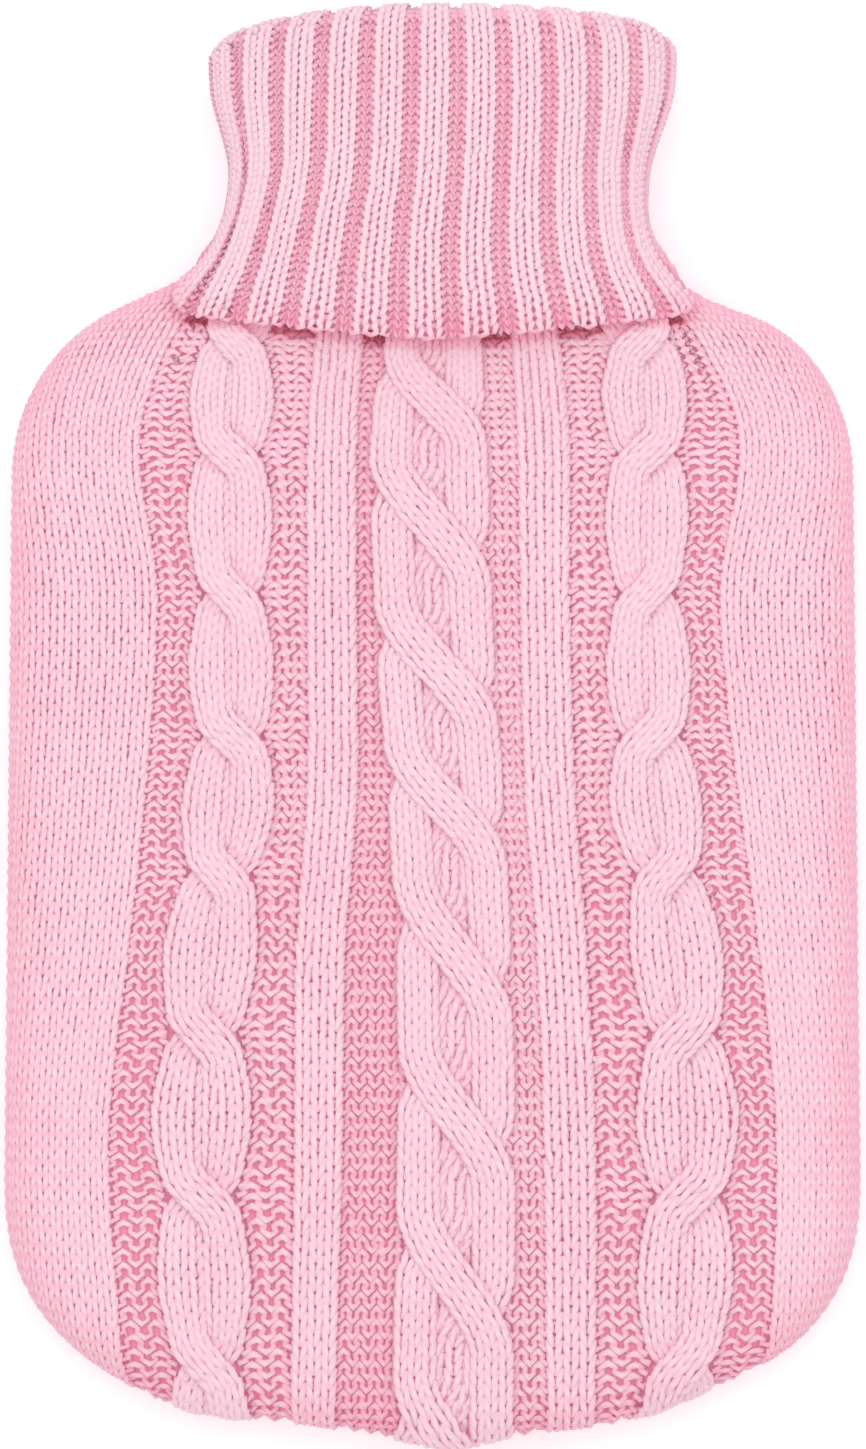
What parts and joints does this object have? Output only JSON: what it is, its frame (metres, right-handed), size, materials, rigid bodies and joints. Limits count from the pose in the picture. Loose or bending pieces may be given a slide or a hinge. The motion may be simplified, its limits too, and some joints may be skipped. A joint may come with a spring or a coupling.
{
  "type": "hot water bottle cover",
  "caption": "Cable-knit sleeve for a flat hot water bottle: raised cables on the front, a plain back and a folded rib collar round the open neck.",
  "frame": {"origin": "middle of the cover's box, on the surface that it lies on", "axes": "+Y towards the collar, +Z out of the cabled face, +X to the right as seen from above that face"},
  "size_m": [0.2088, 0.3499, 0.0398],
  "materials": {
    "cable_knit": "matt pink yarn, knitted with raised cables",
    "plain_knit": "matt pink yarn, knitted plain",
    "rib_knit": "matt pink yarn, knitted in ribs two stitches wide"
  },
  "bodies": {
    "root": {"front_panel": "cable_knit", "back_panel": "plain_knit", "collar": "rib_knit"}
  },
  "joints": []
}
